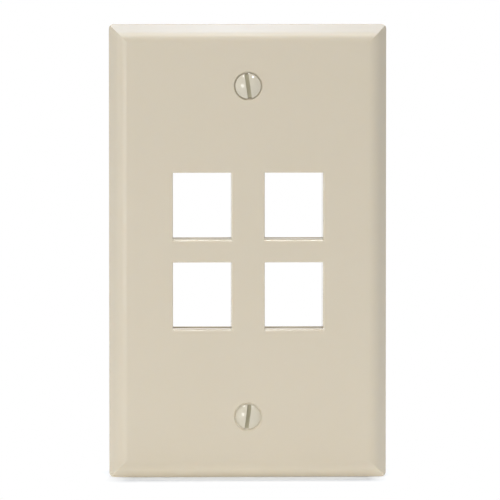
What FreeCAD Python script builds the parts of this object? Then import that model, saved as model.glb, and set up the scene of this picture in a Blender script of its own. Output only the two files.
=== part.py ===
import FreeCAD, Part
import math
import os

# Keystone faceplate: a single-gang wall plate that holds four keystone jacks, with the two screws
# that fasten it. Millimetres and degrees.
#
# The plate stands upright as it does on a wall. The wall is the plane y = 0, +Z is up, and the
# plate's front faces -Y, so +X is to the right of a person looking at it. The origin is on the
# wall, midway between the two screws.

V = FreeCAD.Vector

# Plate, moulded in one piece
PLATE_WIDTH = 69.85  # 2 3/4 in, a standard single gang
PLATE_HEIGHT = 114.3  # 4 1/2 in
PLATE_DEPTH = 5.6  # from the wall to the flat of the face
FACE_WALL = 2.0  # thickness behind the face and behind the bevel
RIM_WIDTH = 1.9  # the edge that bears on the wall all round
OUTER_CORNER = 1.2  # radius of the outline's corners
INNER_CORNER = 1.0  # radius of the hollow's corners
UPRIGHT_EDGE = 2.0  # the outer edge stands straight up from the wall this far
EDGE_RADIUS = 0.5  # between that edge and the bevel
BEVEL_INSET = 2.85  # from the outline to where the bevel's slope would meet the face
BLEND_RADIUS = 3.5  # rounds the bevel into the face
HOLLOW_RADIUS = 1.5  # the same bend on the hollow side

# Port openings, in columns and rows
COLUMNS = 2
ROWS = 2
PORT_WIDTH = 14.7
PORT_HEIGHT = 16.7
COLUMN_STRIP = 8.4  # face left between two columns
PORTS_RISE = 0.2  # the ports' middle is this far above the plate's
PORT_EDGE_RADIUS = 0.4  # front edge at the top and the sides of an opening
PORT_LIP_RADIUS = 0.9  # front edge at the bottom of an opening

# Socket behind each opening. Depths are counted from the face towards the wall.
SOCKET_DEPTH = 9.7  # to the back of the two catches
CATCH_THICKNESS = 1.7  # both catches, front to back
LUG_LIP = 3.0  # bottom wall before the pocket for a jack's fixed lug
LUG_POCKET = 1.4  # how far that pocket drops below the opening
LATCH_LIP = 3.4  # top wall before the ramp for a jack's spring latch
LATCH_RAMP = 2.2  # length of that ramp, front to back
LATCH_OPENING = 2.7  # the upper catch's edge stands this far above the opening
LATCH_HOOK = 0.9  # the latch pocket rises this far above that edge
LEAD_IN = 0.5  # chamfer at the back of both catches
ROW_WEB = 0.9  # wall between a lug pocket and the latch pocket of the row below
SOCKET_WALL = 1.4  # outer walls of the sockets
SOCKET_CORNER = 0.8  # rounded outer corners of the sockets, seen from the back

# Screws: slotted oval heads on a 6-32 thread
SCREWS = 2
SCREW_SPACING = 83.34  # 3 9/32 in, the standard for a device in a wall box
SCREW_LENGTH = 25.4  # from the widest part of the head to the tip
THREAD_DIAMETER = 3.505  # outside of the thread
NECK_DIAMETER = 2.95  # unthreaded neck under the head
NECK_LENGTH = 1.3
TIP_CHAMFER = 0.5
HEAD_DIAMETER = 6.4
HEAD_ANGLE = 82.0  # included angle of the cone under the head
CROWN_HEIGHT = 1.0
SLOT_WIDTH = 1.0
SLOT_DEPTH = 1.3  # below the top of the crown
UPPER_SLOT_LEAN = -8.2  # clockwise from upright, seen from the front
LOWER_SLOT_LEAN = 7.6
UPPER_SCREW_BACKED_OFF = 0.45  # the upper screw isn't driven quite home

# How the screws sit in the plate
HEAD_MARGIN = 0.47  # ring of the countersink that shows round the head
SHANK_CLEARANCE = 0.25  # all round the thread, in the plate's hole
SEAT_CLEARANCE = 0.02  # between the cone of the head and the cone of the countersink
BOSS_WALL = 2.1  # round the hole, behind the face
BOSS_RELIEF = 2.3  # the boss stops this far short of the wall

# Stiffening ribs in the hollow
RIB_THICKNESS = 1.0
RIB_RELIEF = 1.4  # the ribs stop this far short of the wall

# Worked out from the sizes above
FACE_Y = -PLATE_DEPTH
CEILING_Y = FACE_Y + FACE_WALL
ROOT_Y = FACE_Y + FACE_WALL / 2  # bosses, ribs and sockets grow out of the middle of the wall
SOCKET_BACK_Y = FACE_Y + SOCKET_DEPTH
CATCH_START = SOCKET_DEPTH - CATCH_THICKNESS
LATCH_RISE = LATCH_OPENING + LATCH_HOOK
COLUMN_PITCH = PORT_WIDTH + COLUMN_STRIP
ROW_PITCH = PORT_HEIGHT + LUG_POCKET + ROW_WEB + LATCH_RISE
PORTS_REACH = ((ROWS - 1) * ROW_PITCH + PORT_HEIGHT) / 2
SOCKETS_TOP = PORTS_RISE + PORTS_REACH + LATCH_RISE + SOCKET_WALL
SOCKETS_BOTTOM = PORTS_RISE - PORTS_REACH - LUG_POCKET - SOCKET_WALL
HOLE_RADIUS = THREAD_DIAMETER / 2 + SHANK_CLEARANCE
SINK_RADIUS = HEAD_DIAMETER / 2 + HEAD_MARGIN
BOSS_RADIUS = HOLE_RADIUS + BOSS_WALL
HEAD_SLOPE = math.tan(math.radians(HEAD_ANGLE / 2))
OVERRUN = 1.0  # a cutting shape runs this far past what it cuts
SAME_POINT = 1e-6


def spread(count, pitch):
    """Places of a row of equal things, centred on zero."""
    return [(i - (count - 1) / 2) * pitch for i in range(count)]


def row_places():
    """Heights of the rows' middles, from the lowest up."""
    return [PORTS_RISE + z for z in spread(ROWS, ROW_PITCH)]


def on_plan(a, b):
    """A point of a section that is seen from above: a runs along X and b along Y."""
    return V(a, b, 0)


def on_side(a, b):
    """A point of a section that is seen from the side: a runs along Z and b along Y."""
    return V(0, b, a)


def on_front(a, b):
    """A point of a section that is seen from the front: a runs along X and b along Z."""
    return V(a, 0, b)


def section(corners, place):
    """A flat face through corners (a, b) or (a, b, radius), each rounded where it has a radius."""
    points = [V(corner[0], corner[1], 0) for corner in corners]
    radii = [corner[2] if len(corner) > 2 else 0 for corner in corners]
    stops = []
    for i, here in enumerate(points):
        back = (points[i - 1] - here).normalize()
        ahead = (points[(i + 1) % len(points)] - here).normalize()
        half_angle = back.getAngle(ahead) / 2
        reach = radii[i] / math.tan(half_angle)
        inward = (back + ahead).normalize() if radii[i] else V(0, 0, 0)
        middle = here + inward * (radii[i] / math.sin(half_angle) - radii[i])
        stops.append((here + back * reach, middle, here + ahead * reach))
    edges = []
    for i, (start, middle, end) in enumerate(stops):
        if start.distanceToPoint(end) > SAME_POINT:
            edges.append(Part.Arc(*[place(p.x, p.y) for p in (start, middle, end)]).toShape())
        following = stops[(i + 1) % len(stops)][0]
        if end.distanceToPoint(following) > SAME_POINT:
            edges.append(Part.makeLine(place(end.x, end.y), place(following.x, following.y)))
    return Part.Face(Part.Wire(edges))


def prism(face, direction):
    """The section pushed half the direction's length to each side."""
    face.translate(direction * -0.5)
    return face.extrude(direction)


def block(x_size, y_from, y_to, z_from, z_to, x_middle=0):
    """A box, centred across on x_middle."""
    corner = V(x_middle - x_size / 2, y_from, z_from)
    return Part.makeBox(x_size, y_to - y_from, z_to - z_from, corner)


def rounded_block(width, height, radius, y_from, y_to):
    """A box centred on the origin, with its four front-to-back edges rounded."""
    half_w, half_h = width / 2, height / 2
    signs = ((-1, -1), (1, -1), (1, 1), (-1, 1))
    outline = section([(sx * half_w, sz * half_h, radius) for sx, sz in signs], on_front)
    outline.translate(V(0, y_from, 0))
    return outline.extrude(V(0, y_to - y_from, 0))


def mirrored(corners):
    """Corners of one side of a section, joined to their mirror image."""
    return corners + [(-corner[0], *corner[1:]) for corner in reversed(corners)]


def skin_corners(span):
    """Section through the outside of the plate: upright edge, bevel and face."""
    half = span / 2
    return mirrored(
        [
            (half, 0),
            (half, -UPRIGHT_EDGE, EDGE_RADIUS),
            (half - BEVEL_INSET, FACE_Y, BLEND_RADIUS),
        ]
    )


def hollow_corners(span):
    """Section through the hollow: it follows the bevel at the wall's thickness."""
    half = span / 2
    bevel_angle = math.atan2(PLATE_DEPTH - UPRIGHT_EDGE, BEVEL_INSET)
    bend = BEVEL_INSET + FACE_WALL * math.tan(bevel_angle / 2)
    knee_y = CEILING_Y + (bend - RIM_WIDTH) * math.tan(bevel_angle)
    return mirrored(
        [
            (half - RIM_WIDTH, OVERRUN),
            (half - RIM_WIDTH, knee_y),
            (half - bend, CEILING_Y, HOLLOW_RADIUS),
        ]
    )


def mitred(corners_of, width, height, rounding):
    """A shape with the same section all round, mitred at its corners and then rounded there."""
    across = prism(section(corners_of(width), on_plan), V(0, 0, height))
    upright = prism(section(corners_of(height), on_side), V(width, 0, 0))
    return across.common(upright).common(rounding)


def make_skin():
    """The outside of the plate, still solid."""
    rounding = rounded_block(PLATE_WIDTH, PLATE_HEIGHT, OUTER_CORNER, FACE_Y - OVERRUN, OVERRUN)
    return mitred(skin_corners, PLATE_WIDTH, PLATE_HEIGHT, rounding)


def make_hollow():
    """The space behind the face, open towards the wall."""
    width, height = PLATE_WIDTH - 2 * RIM_WIDTH, PLATE_HEIGHT - 2 * RIM_WIDTH
    rounding = rounded_block(width, height, INNER_CORNER, FACE_Y, 2 * OVERRUN)
    return mitred(hollow_corners, PLATE_WIDTH, PLATE_HEIGHT, rounding)


def make_socket_walls():
    """One rounded block for each column of sockets, before the ports are cut."""
    width = PORT_WIDTH + 2 * SOCKET_WALL
    height = SOCKETS_TOP - SOCKETS_BOTTOM
    middle_z = (SOCKETS_TOP + SOCKETS_BOTTOM) / 2
    walls = []
    for x in spread(COLUMNS, COLUMN_PITCH):
        wall = rounded_block(width, height, SOCKET_CORNER, ROOT_Y, SOCKET_BACK_Y)
        wall.translate(V(x, 0, middle_z))
        walls.append(wall)
    return walls


def make_ribs():
    """One upright rib in the middle, and level ribs at the sockets' top, bottom and row webs."""
    ribs = [block(RIB_THICKNESS, ROOT_Y, -RIB_RELIEF, -PLATE_HEIGHT / 2, PLATE_HEIGHT / 2)]
    web_offset = (PORT_HEIGHT + ROW_WEB) / 2 + LUG_POCKET
    webs = [z - web_offset for z in row_places()[1:]]
    ends = [SOCKETS_TOP - SOCKET_WALL / 2, SOCKETS_BOTTOM + SOCKET_WALL / 2]
    for z in webs + ends:
        half = RIB_THICKNESS / 2
        ribs.append(block(PLATE_WIDTH, ROOT_Y, -RIB_RELIEF, z - half, z + half))
    return ribs


def port_cavity():
    """The space that a jack takes, from the front of its opening to the back of its catches."""
    bottom, top = -PORT_HEIGHT / 2, PORT_HEIGHT / 2
    front, back = FACE_Y - OVERRUN, SOCKET_BACK_Y + OVERRUN
    lug_y, latch_y = FACE_Y + LUG_LIP, FACE_Y + LATCH_LIP
    catch_y = FACE_Y + CATCH_START
    floor = [
        (bottom - PORT_LIP_RADIUS, front),
        (bottom - PORT_LIP_RADIUS, FACE_Y),
        (bottom, FACE_Y, PORT_LIP_RADIUS),
        (bottom, lug_y),
        (bottom - LUG_POCKET, lug_y),
        (bottom - LUG_POCKET, catch_y),
        (bottom, catch_y),
        (bottom, SOCKET_BACK_Y - LEAD_IN),
        (bottom - LEAD_IN, SOCKET_BACK_Y),
        (bottom - LEAD_IN, back),
    ]
    ceiling = [
        (top + LATCH_OPENING + LEAD_IN, back),
        (top + LATCH_OPENING + LEAD_IN, SOCKET_BACK_Y),
        (top + LATCH_OPENING, SOCKET_BACK_Y - LEAD_IN),
        (top + LATCH_OPENING, catch_y),
        (top + LATCH_RISE, catch_y),
        (top + LATCH_RISE, latch_y + LATCH_RAMP),
        (top, latch_y),
        (top, FACE_Y, PORT_EDGE_RADIUS),
        (top + PORT_EDGE_RADIUS, FACE_Y),
        (top + PORT_EDGE_RADIUS, front),
    ]
    sides = mirrored(
        [
            (PORT_WIDTH / 2, back),
            (PORT_WIDTH / 2, FACE_Y, PORT_EDGE_RADIUS),
            (PORT_WIDTH / 2 + PORT_EDGE_RADIUS, FACE_Y),
            (PORT_WIDTH / 2 + PORT_EDGE_RADIUS, front),
        ]
    )
    seen_from_side = prism(section(floor + ceiling, on_side), V(2 * PORT_WIDTH, 0, 0))
    seen_from_above = prism(section(sides, on_plan), V(0, 0, 2 * PORT_HEIGHT))
    return seen_from_side.common(seen_from_above)


def make_cavities():
    """A jack's space for every port."""
    cavity = port_cavity()
    places = [(x, z) for x in spread(COLUMNS, COLUMN_PITCH) for z in row_places()]
    return [cavity.translated(V(x, 0, z)) for x, z in places]


def turned(corners):
    """A solid of revolution about the Y axis, from a half section of (radius, y) corners."""
    axis_point, axis = V(0, 0, 0), V(0, 1, 0)
    return section(corners, on_plan).revolve(axis_point, axis, 360)


def screw_hole():
    """Countersink and clearance hole for one screw."""
    front = FACE_Y - OVERRUN
    cone_end = FACE_Y + (SINK_RADIUS - HOLE_RADIUS) / HEAD_SLOPE
    return turned(
        [
            (0, front),
            (SINK_RADIUS + OVERRUN * HEAD_SLOPE, front),
            (HOLE_RADIUS, cone_end),
            (HOLE_RADIUS, OVERRUN),
            (0, OVERRUN),
        ]
    )


def at_screws(shape):
    """A copy of the shape at each screw."""
    return [shape.translated(V(0, 0, z)) for z in spread(SCREWS, SCREW_SPACING)]


def make_faceplate():
    """The whole moulding."""
    skin = make_skin()
    boss = Part.makeCylinder(BOSS_RADIUS, -BOSS_RELIEF - ROOT_Y, V(0, ROOT_Y, 0), V(0, 1, 0))
    relief_length = BOSS_RELIEF + OVERRUN
    relief = Part.makeCylinder(BOSS_RADIUS, relief_length, V(0, -BOSS_RELIEF, 0), V(0, 1, 0))
    ribs = [rib.common(skin) for rib in make_ribs()]
    shell = skin.cut(make_hollow())
    plate = shell.fuse(ribs + make_socket_walls() + at_screws(boss))
    plate = plate.cut(make_cavities() + at_screws(relief) + at_screws(screw_hole()))
    return plate.removeSplitter()


def make_screw(slot_lean, backed_off):
    """One screw, with its axis on the Y axis and its head in the countersink."""
    head_radius = HEAD_DIAMETER / 2
    neck_radius, thread_radius = NECK_DIAMETER / 2, THREAD_DIAMETER / 2
    seat = SEAT_CLEARANCE / math.sin(math.radians(HEAD_ANGLE / 2))
    widest_y = FACE_Y + HEAD_MARGIN / HEAD_SLOPE - seat - backed_off
    top_y = widest_y - CROWN_HEIGHT
    neck_y = widest_y + (head_radius - neck_radius) / HEAD_SLOPE
    thread_y = neck_y + NECK_LENGTH
    tip_y = widest_y + SCREW_LENGTH
    crown_radius = (head_radius**2 + CROWN_HEIGHT**2) / (2 * CROWN_HEIGHT)
    half_turn = math.asin(head_radius / crown_radius) / 2
    crown_middle = V(
        crown_radius * math.sin(half_turn),
        top_y + crown_radius * (1 - math.cos(half_turn)),
        0,
    )
    crown = Part.Arc(V(0, top_y, 0), crown_middle, V(head_radius, widest_y, 0)).toShape()
    shank = Part.makePolygon(
        [
            V(head_radius, widest_y, 0),
            V(neck_radius, neck_y, 0),
            V(neck_radius, thread_y - (thread_radius - neck_radius), 0),
            V(thread_radius, thread_y, 0),
            V(thread_radius, tip_y - TIP_CHAMFER, 0),
            V(thread_radius - TIP_CHAMFER, tip_y, 0),
            V(0, tip_y, 0),
            V(0, top_y, 0),
        ]
    )
    outline = Part.Face(Part.Wire([crown, *shank.Edges]))
    screw = outline.revolve(V(0, 0, 0), V(0, 1, 0), 360)
    slot = block(
        SLOT_WIDTH, top_y - OVERRUN, top_y + SLOT_DEPTH, -HEAD_DIAMETER, HEAD_DIAMETER
    )
    slot.rotate(V(0, 0, 0), V(0, 1, 0), slot_lean)
    return screw.cut(slot)


def make_mounting_screws():
    """The upper and the lower screw, as two separate solids."""
    upper = make_screw(UPPER_SLOT_LEAN, UPPER_SCREW_BACKED_OFF)
    lower = make_screw(LOWER_SLOT_LEAN, 0)
    upper.translate(V(0, 0, SCREW_SPACING / 2))
    lower.translate(V(0, 0, -SCREW_SPACING / 2))
    return Part.makeCompound([upper, lower])


def main():
    """Write one STEP file for each node."""
    os.makedirs("parts", exist_ok=True)
    nodes = {"faceplate": make_faceplate(), "mounting_screws": make_mounting_screws()}
    for name, shape in nodes.items():
        shape.exportStep(f"parts/{name}.step")
        kind = "valid" if shape.isValid() else "NOT VALID"
        print(f"{name}: {len(shape.Solids)} solids, {len(shape.Faces)} faces,", end=" ")
        print(f"{shape.Volume:.1f} mm3, {kind}")


main()
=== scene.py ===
"""The look of a keystone faceplate: an ivory moulded wall plate and its two painted screws."""

import logging
import math
from dataclasses import dataclass, field
from enum import Enum

import bmesh
import bpy
from mathutils import Matrix, Vector


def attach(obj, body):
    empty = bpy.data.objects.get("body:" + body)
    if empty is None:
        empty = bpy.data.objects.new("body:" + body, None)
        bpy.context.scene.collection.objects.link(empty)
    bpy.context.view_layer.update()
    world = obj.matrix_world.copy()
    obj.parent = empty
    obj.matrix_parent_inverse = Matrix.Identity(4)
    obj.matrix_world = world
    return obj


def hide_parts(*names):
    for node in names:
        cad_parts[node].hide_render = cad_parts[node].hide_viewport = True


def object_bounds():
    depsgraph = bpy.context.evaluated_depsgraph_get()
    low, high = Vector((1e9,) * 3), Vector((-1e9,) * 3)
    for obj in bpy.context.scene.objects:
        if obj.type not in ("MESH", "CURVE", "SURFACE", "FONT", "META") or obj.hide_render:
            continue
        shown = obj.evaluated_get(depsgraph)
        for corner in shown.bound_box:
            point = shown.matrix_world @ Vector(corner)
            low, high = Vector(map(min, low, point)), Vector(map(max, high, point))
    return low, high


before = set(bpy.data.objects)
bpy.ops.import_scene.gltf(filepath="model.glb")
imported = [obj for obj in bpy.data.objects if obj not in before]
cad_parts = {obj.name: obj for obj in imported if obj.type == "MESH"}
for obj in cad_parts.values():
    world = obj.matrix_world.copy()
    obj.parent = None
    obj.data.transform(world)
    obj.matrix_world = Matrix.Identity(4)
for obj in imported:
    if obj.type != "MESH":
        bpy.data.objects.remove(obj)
CAD_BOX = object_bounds()

MM = 0.001
WHITE = "FFFFFF"
COOL = "D7E5FF"

# The sRGB curve is a line up to its knee, and a power above it.
SRGB_KNEE = 0.04045
SRGB_SLOPE = 12.92
SRGB_SHIFT = 0.055
SRGB_POWER = 2.4

# Numbers of the Mix node's sockets, which share their names.
SHARE = 0
VALUE_A, VALUE_B, MIXED_VALUE = 2, 3, 0
COLOUR_A, COLOUR_B, MIXED_COLOUR = 6, 7, 2

log = logging.getLogger("faceplate")


class Carving(Enum):
    """What one solid does to another."""

    CUT = "DIFFERENCE"
    JOIN = "UNION"


class Skin(Enum):
    """The two surfaces of a screw, by their material slots."""

    ENAMEL = 0
    ZINC = 1


class ScrewPlace(Enum):
    """Which of the plate's two screws, by the side of the plate's middle that it stands on."""

    UPPER = 1
    LOWER = -1


def linear(code: str) -> tuple[float, float, float, float]:
    """Turns an sRGB hex colour into the linear colour that shaders take.

    Args:
        code: Six hex digits, such as "D2C7B5".

    Returns:
        Red, green, blue and an alpha of one.
    """
    channels = []
    for start in (0, 2, 4):
        value = int(code[start : start + 2], 16) / 255
        if value <= SRGB_KNEE:
            channels.append(value / SRGB_SLOPE)
        else:
            channels.append(((value + SRGB_SHIFT) / (1 + SRGB_SHIFT)) ** SRGB_POWER)
    return (channels[0], channels[1], channels[2], 1.0)


def add_node(
    tree: bpy.types.NodeTree, kind: str, settings: dict | None = None, links: dict | None = None
) -> bpy.types.Node:
    """Adds a shader node with its settings and links.

    Args:
        tree: The node tree to add to.
        kind: The node's type name, without "ShaderNode".
        settings: Values by socket name or number, or by the node's own attribute in lower case.
        links: Sockets of other nodes, by the name or number of the socket that they feed.

    Returns:
        The new node.
    """
    node = tree.nodes.new("ShaderNode" + kind)
    for name, value in (settings or {}).items():
        if isinstance(name, str) and hasattr(node, name):
            setattr(node, name, value)
        else:
            node.inputs[name].default_value = value
    for name, source in (links or {}).items():
        tree.links.new(source, node.inputs[name])
    return node


def beyond_box(
    tree: bpy.types.NodeTree, place: bpy.types.NodeSocket, reach: tuple[float, float, float]
) -> bpy.types.NodeSocket:
    """Measures how far a point lies outside a box that is centred on the origin.

    Args:
        tree: The node tree to add to.
        place: The point.
        reach: Half the box's length along each axis.

    Returns:
        The distance, which is nought in the box.
    """
    outward = add_node(tree, "VectorMath", {"operation": "ABSOLUTE"}, {0: place})
    beyond = add_node(
        tree, "VectorMath", {"operation": "SUBTRACT", 1: reach}, {0: outward.outputs["Vector"]}
    )
    outside = add_node(tree, "VectorMath", {"operation": "MAXIMUM"}, {0: beyond.outputs["Vector"]})
    distance = add_node(tree, "VectorMath", {"operation": "LENGTH"}, {0: outside.outputs["Vector"]})
    return distance.outputs["Value"]


def background_ray(tree: bpy.types.NodeTree) -> bpy.types.NodeSocket:
    """Picks out the rays that show a background: seen directly, in a gloss or through glass.

    Args:
        tree: The node tree to add to.

    Returns:
        One for such a ray, and nought for any other.
    """
    path = add_node(tree, "LightPath")
    seen = path.outputs["Is Camera Ray"]
    for ray in ("Is Glossy Ray", "Is Transmission Ray"):
        either = add_node(tree, "Math", {"operation": "MAXIMUM"}, {0: seen, 1: path.outputs[ray]})
        seen = either.outputs[0]
    return seen


def new_material(name: str) -> tuple[bpy.types.Material, bpy.types.NodeTree]:
    """Makes an empty node material.

    Args:
        name: The material's name.

    Returns:
        The material and its node tree.
    """
    material = bpy.data.materials.new(name)
    material.use_nodes = True
    material.node_tree.nodes.clear()
    return material, material.node_tree


@dataclass(frozen=True)
class MouldedPlastic:
    """Ivory ABS, injection moulded in a tool with a satin finish.

    The tool leaves a fine even grain, so highlights are broad. The grain is drawn a few times
    coarser than the real one, which is too fine to show. The melt's flow shows as a very faint,
    long cloudiness of the colour, and the face isn't perfectly flat, so its highlights wander.
    The cores that form the sockets are polished, so the ports' walls mirror what is seen past
    them. Light goes a little way into the plastic, which softens its edges.
    """

    colour: str = "CFC4AF"
    flow_colour: str = "CCC1AB"
    ior: float = 1.54
    roughness: float = 0.4
    roughness_swing: float = 0.05
    core_roughness: float = 0.05
    socket_x_mm: float = 11.55
    sockets_z_mm: float = 1.3
    socket_reach_mm: tuple[float, float, float] = (8.8, 5.45, 23.6)
    polish_fade_mm: float = 0.1
    flow_size_mm: float = 38.0
    flow_detail: float = 3.0
    grain_mm: float = 0.35
    grain_detail: float = 2.0
    grain_depth_mm: float = 0.004
    wave_size_mm: float = 30.0
    wave_detail: float = 0.0
    wave_depth_mm: float = 0.05
    haze: float = 0.3
    haze_mm: float = 1.5
    haze_by_channel: tuple[float, float, float] = (1.0, 0.8, 0.55)

    def material(self) -> bpy.types.Material:
        """Builds the plastic's material.

        Returns:
            The material, patterned in the plate's own coordinates.
        """
        material, tree = new_material("ivory_abs")
        place = add_node(tree, "TexCoord").outputs["Object"]
        flow = add_node(
            tree,
            "TexNoise",
            {"Scale": 1 / (self.flow_size_mm * MM), "Detail": self.flow_detail},
            {"Vector": place},
        )
        colour = add_node(
            tree,
            "Mix",
            {
                "data_type": "RGBA",
                COLOUR_A: linear(self.colour),
                COLOUR_B: linear(self.flow_colour),
            },
            {SHARE: flow.outputs["Fac"]},
        )
        low, high = self.roughness - self.roughness_swing, self.roughness + self.roughness_swing
        grained = add_node(
            tree, "MapRange", {"To Min": low, "To Max": high}, {"Value": flow.outputs["Fac"]}
        )
        grain_share = self.grain_share(tree, place)
        roughness = add_node(
            tree,
            "Mix",
            {VALUE_A: self.core_roughness},
            {SHARE: grain_share, VALUE_B: grained.outputs["Result"]},
        )
        wave = add_node(
            tree,
            "TexNoise",
            {"Scale": 1 / (self.wave_size_mm * MM), "Detail": self.wave_detail},
            {"Vector": place},
        )
        grain = add_node(
            tree,
            "TexNoise",
            {"Scale": 1 / (self.grain_mm * MM), "Detail": self.grain_detail},
            {"Vector": place},
        )
        waves = add_node(
            tree,
            "Bump",
            {"Distance": self.wave_depth_mm * MM},
            {"Height": wave.outputs["Fac"], "Strength": grain_share},
        )
        bump = add_node(
            tree,
            "Bump",
            {"Distance": self.grain_depth_mm * MM},
            {
                "Height": grain.outputs["Fac"],
                "Strength": grain_share,
                "Normal": waves.outputs["Normal"],
            },
        )
        shader = add_node(
            tree,
            "BsdfPrincipled",
            {
                "IOR": self.ior,
                "Subsurface Weight": self.haze,
                "Subsurface Radius": self.haze_by_channel,
                "Subsurface Scale": self.haze_mm * MM,
            },
            {
                "Base Color": colour.outputs[MIXED_COLOUR],
                "Roughness": roughness.outputs[MIXED_VALUE],
                "Normal": bump.outputs["Normal"],
            },
        )
        add_node(tree, "OutputMaterial", {}, {"Surface": shader.outputs["BSDF"]})
        return material

    def grain_share(
        self, tree: bpy.types.NodeTree, place: bpy.types.NodeSocket
    ) -> bpy.types.NodeSocket:
        """Tells where the tool's grain is, and where its polished cores formed the sockets.

        Args:
            tree: The material's node tree.
            place: The point on the plate.

        Returns:
            Nought in the sockets, and one elsewhere.
        """
        middle = add_node(
            tree,
            "VectorMath",
            {"operation": "SUBTRACT", 1: (0, 0, self.sockets_z_mm * MM)},
            {0: place},
        )
        either_side = add_node(
            tree, "VectorMath", {"operation": "ABSOLUTE"}, {0: middle.outputs["Vector"]}
        )
        column = add_node(
            tree,
            "VectorMath",
            {"operation": "SUBTRACT", 1: (self.socket_x_mm * MM, 0, 0)},
            {0: either_side.outputs["Vector"]},
        )
        reach = tuple(length * MM for length in self.socket_reach_mm)
        distance = beyond_box(tree, column.outputs["Vector"], reach)
        share = add_node(
            tree, "MapRange", {"From Max": self.polish_fade_mm * MM}, {"Value": distance}
        )
        return share.outputs["Result"]


@dataclass(frozen=True)
class BakedEnamel:
    """Ivory enamel, sprayed on the screws' heads and baked.

    It is glossier than the plate and a shade greyer, with the slight orange peel of spray, so each
    lamp gives a small uneven glint. From just past the head's widest circle towards the wall, on the
    slot's floor and the head's underside, it turns a darker, greyer colour: partly thin enamel, and
    partly painted shade of those recesses.
    """

    colour: str = "CEC6B2"
    # Darker colour of the slot's floor and the head's underside: thin enamel and painted shade.
    thin_and_shade_colour: str = "B3AC91"
    ior: float = 1.5
    roughness: float = 0.15
    peel_mm: float = 0.55
    peel_detail: float = 1.0
    peel_depth_mm: float = 0.012
    darkening_mm: float = 0.25

    def material(self, darker_from: float) -> bpy.types.Material:
        """Builds the enamel's material.

        Args:
            darker_from: Where, towards the wall, the darker colour of thin enamel and painted shade
                begins, in metres.

        Returns:
            The material.
        """
        material, tree = new_material("baked_enamel")
        place = add_node(tree, "TexCoord").outputs["Object"]
        depth = add_node(tree, "SeparateXYZ", {}, {"Vector": place})
        # Painted shade: the colour darkens past this depth, on the slot's floor and the head's
        # underside, partly for thin enamel.
        thin = add_node(
            tree,
            "MapRange",
            {"From Min": darker_from, "From Max": darker_from + self.darkening_mm * MM},
            {"Value": depth.outputs["Y"]},
        )
        peel = add_node(
            tree,
            "TexNoise",
            {"Scale": 1 / (self.peel_mm * MM), "Detail": self.peel_detail},
            {"Vector": place},
        )
        colour = add_node(
            tree,
            "Mix",
            {
                "data_type": "RGBA",
                COLOUR_A: linear(self.colour),
                COLOUR_B: linear(self.thin_and_shade_colour),
            },
            {SHARE: thin.outputs["Result"]},
        )
        bump = add_node(
            tree, "Bump", {"Distance": self.peel_depth_mm * MM}, {"Height": peel.outputs["Fac"]}
        )
        shader = add_node(
            tree,
            "BsdfPrincipled",
            {"IOR": self.ior, "Roughness": self.roughness},
            {"Base Color": colour.outputs[MIXED_COLOUR], "Normal": bump.outputs["Normal"]},
        )
        add_node(tree, "OutputMaterial", {}, {"Surface": shader.outputs["BSDF"]})
        return material


@dataclass(frozen=True)
class ZincPlate:
    """Bright zinc, electroplated on the screws' rolled shanks.

    It is a pale bluish mirror, and plating's faint mottle breaks its highlights up.
    """

    bright: str = "D3D5D8"
    dull: str = "B9BCC2"
    roughness_bright: float = 0.22
    roughness_dull: float = 0.38
    mottle_mm: float = 1.6
    mottle_detail: float = 4.0

    def material(self) -> bpy.types.Material:
        """Builds the plating's material.

        Returns:
            The material.
        """
        material, tree = new_material("zinc_plated_steel")
        place = add_node(tree, "TexCoord").outputs["Object"]
        mottle = add_node(
            tree,
            "TexNoise",
            {"Scale": 1 / (self.mottle_mm * MM), "Detail": self.mottle_detail},
            {"Vector": place},
        )
        colour = add_node(
            tree,
            "Mix",
            {"data_type": "RGBA", COLOUR_A: linear(self.bright), COLOUR_B: linear(self.dull)},
            {SHARE: mottle.outputs["Fac"]},
        )
        roughness = add_node(
            tree,
            "MapRange",
            {"To Min": self.roughness_bright, "To Max": self.roughness_dull},
            {"Value": mottle.outputs["Fac"]},
        )
        shader = add_node(
            tree,
            "BsdfPrincipled",
            {"Metallic": 1.0},
            {
                "Base Color": colour.outputs[MIXED_COLOUR],
                "Roughness": roughness.outputs["Result"],
            },
        )
        add_node(tree, "OutputMaterial", {}, {"Surface": shader.outputs["BSDF"]})
        return material


def to_object(name: str, bm: bmesh.types.BMesh) -> bpy.types.Object:
    """Turns a bmesh into an object in the scene, with its place in its mesh.

    Args:
        name: The object's name.
        bm: The shape, which is freed.

    Returns:
        The object.
    """
    mesh = bpy.data.meshes.new(name)
    bm.to_mesh(mesh)
    bm.free()
    piece = bpy.data.objects.new(name, mesh)
    bpy.context.scene.collection.objects.link(piece)
    return piece


def carve(body: bpy.types.Object, tool: bpy.types.Object, carving: Carving) -> None:
    """Cuts a tool's shape out of a body, or joins the two, and removes the tool.

    Args:
        body: The solid that stays.
        tool: The solid that is used up.
        carving: Cut or join.
    """
    modifier = body.modifiers.new(carving.name, "BOOLEAN")
    modifier.operation = carving.value
    modifier.solver = "EXACT"
    modifier.object = tool
    graph = bpy.context.evaluated_depsgraph_get()
    mesh = bpy.data.meshes.new_from_object(body.evaluated_get(graph))
    body.modifiers.clear()
    body.data = mesh
    bpy.data.objects.remove(tool)


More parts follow.
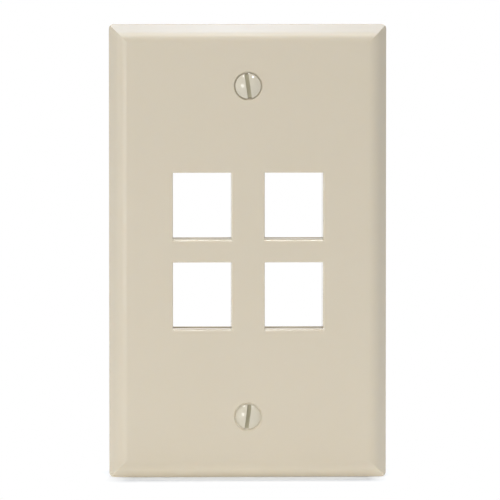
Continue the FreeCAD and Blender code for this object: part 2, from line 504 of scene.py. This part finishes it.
@dataclass
class MountingScrew:
    """A slotted oval-head 6-32 screw, one above and one below the ports.

    Its place, its length and its head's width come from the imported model, in metres. Its other
    sizes are in millimetres and its angles in degrees. The thread's height and crest are shares
    of its pitch, and at both ends the ridge sinks to its least share. The two margins run from
    the head's widest circle towards the wall.
    """

    place: ScrewPlace
    slot_lean: float
    thread_diameter: float = 3.505
    pitch: float = 25.4 / 32
    ridge_share: float = 0.6134
    crest_share: float = 1 / 8
    flank_angle: float = 30.0
    ridge_root_depth: float = 0.1
    ridge_least_share: float = 0.02
    neck_diameter: float = 2.95
    neck_length: float = 1.3
    head_angle: float = 82.0
    crown_height: float = 1.0
    slot_width: float = 1.0
    slot_depth: float = 1.3
    blade_in_head_radii: float = 4.0
    edge_radius: float = 0.09
    edge_segments: int = 3
    edge_angle: float = 25.0
    edge_margin: float = 0.1
    crease_angle: float = 35.0
    # Past this margin the enamel is drawn darker, partly as painted shade.
    darkening_margin: float = 0.05
    painted_share: float = 0.6
    tip_chamfer: float = 0.5
    turned_gap: float = 0.001
    carved_gap: float = 0.002
    around: int = 72
    crown_rings: int = 10
    axis_z: float = field(init=False)
    head_radius: float = field(init=False)
    top_y: float = field(init=False)
    widest_y: float = field(init=False)
    neck_y: float = field(init=False)
    thread_y: float = field(init=False)
    tip_y: float = field(init=False)

    def __post_init__(self) -> None:
        """Reads this screw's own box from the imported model."""
        side = self.place.value
        points = [v.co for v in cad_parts["mounting_screws"].data.vertices if v.co.z * side > 0]
        self.axis_z = sum(pick(p.z for p in points) for pick in (min, max)) / 2
        self.head_radius = max(p.x for p in points)
        self.top_y = min(p.y for p in points)
        self.tip_y = max(p.y for p in points)
        self.widest_y = self.top_y + self.crown_height * MM
        slope = math.tan(math.radians(self.head_angle / 2))
        self.neck_y = self.widest_y + (self.head_radius - self.neck_diameter / 2 * MM) / slope
        self.thread_y = self.neck_y + self.neck_length * MM

    @property
    def thread_height(self) -> float:
        """How far the thread's ridge stands up from the core, in millimetres."""
        return self.ridge_share * self.pitch

    def turned_blank(self) -> bmesh.types.BMesh:
        """Turns the head, the neck and the core that the thread stands on.

        Returns:
            A closed solid on the Y axis.
        """
        core = (self.thread_diameter / 2 - self.thread_height) * MM
        neck = self.neck_diameter / 2 * MM
        height = self.crown_height * MM
        crown_radius = (self.head_radius**2 + height**2) / (2 * height)
        bm = bmesh.new()
        top = bm.verts.new((0, self.top_y, 0))
        arc = bmesh.ops.spin(
            bm,
            geom=[top],
            cent=(0, self.top_y + crown_radius, 0),
            axis=(0, 0, 1),
            angle=math.asin(self.head_radius / crown_radius),
            steps=self.crown_rings,
        )
        end = arc["geom_last"][0]
        for radius, y in (
            (neck, self.neck_y),
            (neck, self.thread_y - (neck - core)),
            (core, self.thread_y),
            (core, self.tip_y - self.tip_chamfer * MM / 2),
            (core - self.tip_chamfer * MM / 2, self.tip_y),
            (0, self.tip_y),
        ):
            end = bmesh.ops.extrude_vert_indiv(bm, verts=[end])["verts"][0]
            end.co = (radius, y, 0)
        bmesh.ops.spin(
            bm,
            geom=[*bm.verts, *bm.edges],
            axis=(0, 1, 0),
            angle=math.tau,
            steps=self.around,
            use_merge=True,
        )
        bmesh.ops.remove_doubles(bm, verts=bm.verts, dist=self.turned_gap * MM)
        bmesh.ops.recalc_face_normals(bm, faces=bm.faces)
        return bm

    def thread(self) -> bmesh.types.BMesh:
        """Winds the thread's ridge, which fades in under the neck and out at the tip.

        Returns:
            A closed helical solid, rooted inside the core.
        """
        pitch = self.pitch * MM
        crest = self.thread_diameter / 2 * MM
        height = self.thread_height * MM
        half_crest = self.crest_share * pitch / 2
        half_root = half_crest + height * math.tan(math.radians(self.flank_angle))
        root = crest - height
        sunk = root - self.ridge_root_depth * MM
        bm = bmesh.new()
        start = self.thread_y + half_root
        turns = (self.tip_y - self.tip_chamfer * MM / 2 - half_root - start) / pitch
        corners = (
            (sunk, -half_root),
            (root, -half_root),
            (crest, -half_crest),
            (crest, half_crest),
            (root, half_root),
            (sunk, half_root),
        )
        section = bm.faces.new([bm.verts.new((r, start + y, 0)) for r, y in corners])
        steps = round(turns * self.around / 2)
        bmesh.ops.spin(
            bm,
            geom=[section],
            axis=(0, 1, 0),
            dvec=(0, turns * pitch / steps, 0),
            angle=turns * math.tau,
            steps=steps,
        )
        end = start + turns * pitch
        for vert in bm.verts:
            radius = math.hypot(vert.co.x, vert.co.z)
            near_end = min(vert.co.y - start, end - vert.co.y) / pitch
            if radius > root and near_end < 1:
                lifted = root + (radius - root) * max(near_end, self.ridge_least_share)
                vert.co.x *= lifted / radius
                vert.co.z *= lifted / radius
        bmesh.ops.recalc_face_normals(bm, faces=bm.faces)
        return bm

    def slot_cutter(self) -> bmesh.types.BMesh:
        """Makes the blade that the slot is cut with.

        Returns:
            A closed block across the head.
        """
        reach = self.blade_in_head_radii * self.head_radius
        bm = bmesh.new()
        bmesh.ops.create_cube(bm, size=1)
        bmesh.ops.scale(bm, vec=(self.slot_width * MM, 2 * self.slot_depth * MM, reach), verts=bm.verts)
        bmesh.ops.translate(bm, vec=(0, self.top_y, 0), verts=bm.verts)
        turn = Matrix.Rotation(math.radians(self.slot_lean), 3, "Y")
        bmesh.ops.rotate(bm, matrix=turn, verts=bm.verts)
        return bm

    def soften_edges(self, bm: bmesh.types.BMesh) -> None:
        """Rounds the slot's edges and the head's rim, as a coat of enamel leaves them.

        Args:
            bm: The finished screw.
        """
        sharp = [
            e
            for e in bm.edges
            if e.is_manifold
            and e.calc_face_angle() > math.radians(self.edge_angle)
            and max(v.co.y for v in e.verts) < self.widest_y + self.edge_margin * MM
        ]
        bmesh.ops.bevel(
            bm,
            geom=sharp,
            offset=self.edge_radius * MM,
            segments=self.edge_segments,
            profile=0.5,
            affect="EDGES",
            material=-1,
            clamp_overlap=True,
        )

    def build(self, enamel: BakedEnamel, zinc: ZincPlate) -> bpy.types.Object:
        """Builds, places and dresses the screw.

        Args:
            enamel: The head's finish.
            zinc: The shank's finish.

        Returns:
            The screw.
        """
        name = self.place.name.lower() + "_screw"
        screw = to_object(name, self.turned_blank())
        carve(screw, to_object("thread", self.thread()), Carving.JOIN)
        carve(screw, to_object("slot", self.slot_cutter()), Carving.CUT)
        bm = bmesh.new()
        bm.from_mesh(screw.data)
        bmesh.ops.remove_doubles(bm, verts=bm.verts, dist=self.carved_gap * MM)
        self.soften_edges(bm)
        # Past this depth the enamel is drawn darker, partly as painted shade in the slot and under the
        # head.
        darkening_start = self.widest_y + self.darkening_margin * MM
        for finish in (enamel.material(darkening_start), zinc.material()):
            screw.data.materials.append(finish)
        painted_to = self.widest_y + self.painted_share * (self.neck_y - self.widest_y)
        for face in bm.faces:
            face.smooth = True
            painted = face.calc_center_median().y < painted_to
            face.material_index = (Skin.ENAMEL if painted else Skin.ZINC).value
        bmesh.ops.translate(bm, vec=(0, 0, self.axis_z), verts=bm.verts)
        bm.to_mesh(screw.data)
        bm.free()
        screw.data.set_sharp_from_angle(angle=math.radians(self.crease_angle))
        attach(screw, "root")
        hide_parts("mounting_screws")
        return screw


@dataclass
class Faceplate:
    """The moulded plate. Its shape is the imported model's own, and only its finish is set here."""

    plastic: MouldedPlastic

    def build(self) -> bpy.types.Object:
        """Dresses the plate.

        Returns:
            The plate.
        """
        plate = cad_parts["faceplate"]
        for slot in plate.material_slots:
            slot.material = self.plastic.material()
        return plate


@dataclass(frozen=True)
class Softbox:
    """A soft lamp, aimed at the plate, that the camera doesn't see.

    Sizes and places are in metres. A compact one shows as a glint on the screws' crowns.
    """

    name: str
    width: float
    height: float
    place: tuple[float, float, float]
    radiance: float
    colour: str = WHITE

    def build(self, target: Vector) -> bpy.types.Object:
        """Hangs the lamp.

        Args:
            target: The point that it faces.

        Returns:
            The lamp.
        """
        lamp = bpy.data.lights.new(self.name, "AREA")
        lamp.shape = "RECTANGLE"
        lamp.size, lamp.size_y = self.width, self.height
        lamp.energy = self.radiance * math.pi * self.width * self.height
        lamp.color = linear(self.colour)[:3]
        holder = bpy.data.objects.new(self.name, lamp)
        bpy.context.scene.collection.objects.link(holder)
        holder.location = self.place
        holder.rotation_euler = (target - holder.location).to_track_quat("-Z", "Y").to_euler()
        holder.visible_camera = False
        return holder


@dataclass
class Studio:
    """A white table, white surroundings and soft lamps, in metres.

    The surroundings and the far table are plain white to look at, and give the plate a weaker
    light than that. In a box round the plate's foot, sized to the plate's shadow, the camera sees the
    lit white board without its glow, so the box is a painted shadow, grey even where no real shadow
    falls, that holds the plate's real shadow too. Its glow is the light that it throws up at the
    plate, and wanes outwards.
    """

    fill: float = 0.152
    table_radius: float = 2.5
    table_sides: int = 96
    table_colour: str = "EEF2F8"
    foot_glow: float = 0.38
    table_glow: float = 0.52
    glow_reach: float = 0.45
    # Half-sizes of the painted shadow box round the plate's foot, and its fade.
    foot: tuple[float, float] = (0.030, 0.012)
    painted_shadow_fade: float = 0.010
    lamps: tuple[Softbox, ...] = (
        Softbox("key", 0.20, 0.20, (-0.31, -0.60, 0.03), 8.1),
        Softbox("top", 0.06, 0.06, (0.0, 0.08, 0.62), 92.0, COOL),
        Softbox("overhead", 0.14, 0.14, (0.0, -0.22, 0.60), 20.0),
        Softbox("left_glint", 0.06, 0.06, (-0.311, -0.564, 0.764), 100.0),
        Softbox("right_glint", 0.06, 0.06, (0.391, -0.581, 0.711), 104.0),
        Softbox("left_side", 0.5, 0.7, (-0.8, -0.10, 0.1), 1.25),
        Softbox("right_side", 0.5, 0.7, (0.8, -0.12, 0.1), 0.26),
        Softbox("rear", 0.5, 0.5, (0.35, 0.90, 0.45), 4.2),
    )

    def surroundings(self) -> None:
        """Makes the world white to look at, and a plain even fill for everything it lights."""
        world = bpy.data.worlds.new("surroundings")
        bpy.context.scene.world = world
        world.use_nodes = True
        tree = world.node_tree
        tree.nodes.clear()
        strength = add_node(
            tree, "MapRange", {"To Min": self.fill, "To Max": 1.0}, {"Value": background_ray(tree)}
        )
        light = add_node(
            tree, "Background", {"Color": linear(WHITE)}, {"Strength": strength.outputs["Result"]}
        )
        add_node(tree, "OutputWorld", {}, {"Surface": light.outputs["Background"]})

    def table_material(self) -> bpy.types.Material:
        """Builds the table's white: a painted shadow box round the plate's foot, holding the plate's
        real shadow, that fades to plain white.

        Returns:
            The material.
        """
        material, tree = new_material("white_table")
        place = add_node(tree, "TexCoord").outputs["Object"]
        # Painted shadow: inside this box the camera sees the board without glow, outside it plain
        # white.
        distance = beyond_box(tree, place, (*self.foot, self.table_radius))
        far = add_node(tree, "MapRange", {"From Max": self.painted_shadow_fade}, {"Value": distance})
        board = add_node(tree, "BsdfDiffuse", {"Color": linear(self.table_colour)})
        path = add_node(tree, "LightPath")
        # The camera sees no glow in the box, which draws the painted shadow.
        foot = add_node(
            tree,
            "MapRange",
            {"To Min": self.foot_glow, "To Max": 0.0},
            {"Value": path.outputs["Is Camera Ray"]},
        )
        rising = add_node(
            tree,
            "MapRange",
            {"To Max": self.table_glow},
            {"Value": far.outputs["Result"], "To Min": foot.outputs["Result"]},
        )
        waning = add_node(
            tree,
            "MapRange",
            {"From Max": self.glow_reach, "To Min": 1.0, "To Max": 0.0},
            {"Value": distance},
        )
        strength = add_node(
            tree,
            "Math",
            {"operation": "MULTIPLY"},
            {0: rising.outputs["Result"], 1: waning.outputs["Result"]},
        )
        glow = add_node(tree, "Emission", {"Color": linear(WHITE)}, {"Strength": strength.outputs[0]})
        near = add_node(
            tree, "AddShader", {}, {0: board.outputs["BSDF"], 1: glow.outputs["Emission"]}
        )
        plain = add_node(tree, "Emission", {"Color": linear(WHITE)})
        fade = add_node(
            tree,
            "Math",
            {"operation": "MULTIPLY"},
            {0: far.outputs["Result"], 1: background_ray(tree)},
        )
        surface = add_node(
            tree,
            "MixShader",
            {},
            {0: fade.outputs[0], 1: near.outputs["Shader"], 2: plain.outputs["Emission"]},
        )
        add_node(tree, "OutputMaterial", {}, {"Surface": surface.outputs["Shader"]})
        return material

    def build(self) -> list[bpy.types.Object]:
        """Sets up the table, the surroundings and the lamps.

        Returns:
            The table and the lamps.
        """
        bm = bmesh.new()
        bmesh.ops.create_circle(
            bm, cap_ends=True, segments=self.table_sides, radius=self.table_radius
        )
        bmesh.ops.translate(bm, vec=(0, 0, CAD_BOX[0][2]), verts=bm.verts)
        table = to_object("table", bm)
        table.data.materials.append(self.table_material())
        self.surroundings()
        return [table, *(lamp.build(Vector((0, 0, 0))) for lamp in self.lamps)]


@dataclass
class Viewpoint:
    """Where the photograph was taken from, in millimetres.

    The camera stood a little above the plate's middle and to the left of it, and looks almost
    square at it. The span is the width that the picture takes in at the plate's rim.
    """

    stand: tuple[float, float, float] = (-45.0, -1500.0, 85.0)
    aim: tuple[float, float, float] = (0.648, 0.0, 0.097)
    rim_y: float = -2.0
    span: float = 125.83
    sensor: float = 36.0
    nearest: float = 10.0

    def build(self) -> bpy.types.Object:
        """Sets up the camera.

        Returns:
            The camera.
        """
        stand, aim = Vector(self.stand) * MM, Vector(self.aim) * MM
        data = bpy.data.cameras.new("camera")
        data.sensor_width = self.sensor
        data.lens = self.sensor * (self.rim_y - self.stand[1]) / self.span
        data.clip_start = self.nearest * MM
        camera = bpy.data.objects.new("camera", data)
        bpy.context.scene.collection.objects.link(camera)
        camera.location = stand
        camera.rotation_euler = (aim - stand).to_track_quat("-Z", "Y").to_euler()
        bpy.context.scene.camera = camera
        return camera


def main() -> None:
    """Builds the plate, the screws, the studio and the camera."""
    logging.basicConfig(level=logging.INFO, format="%(name)s: %(message)s")
    bpy.context.scene.view_settings.view_transform = "Standard"
    enamel, zinc = BakedEnamel(), ZincPlate()
    pieces = [
        Faceplate(MouldedPlastic()).build(),
        MountingScrew(ScrewPlace.UPPER, slot_lean=-8.2).build(enamel, zinc),
        MountingScrew(ScrewPlace.LOWER, slot_lean=7.6).build(enamel, zinc),
    ]
    for piece in pieces:
        log.info("%s has %d faces", piece.name, len(piece.data.polygons))
    for item in [*Studio().build(), Viewpoint().build()]:
        log.info("%s is in place", item.name)


if __name__ == "__main__":
    main()
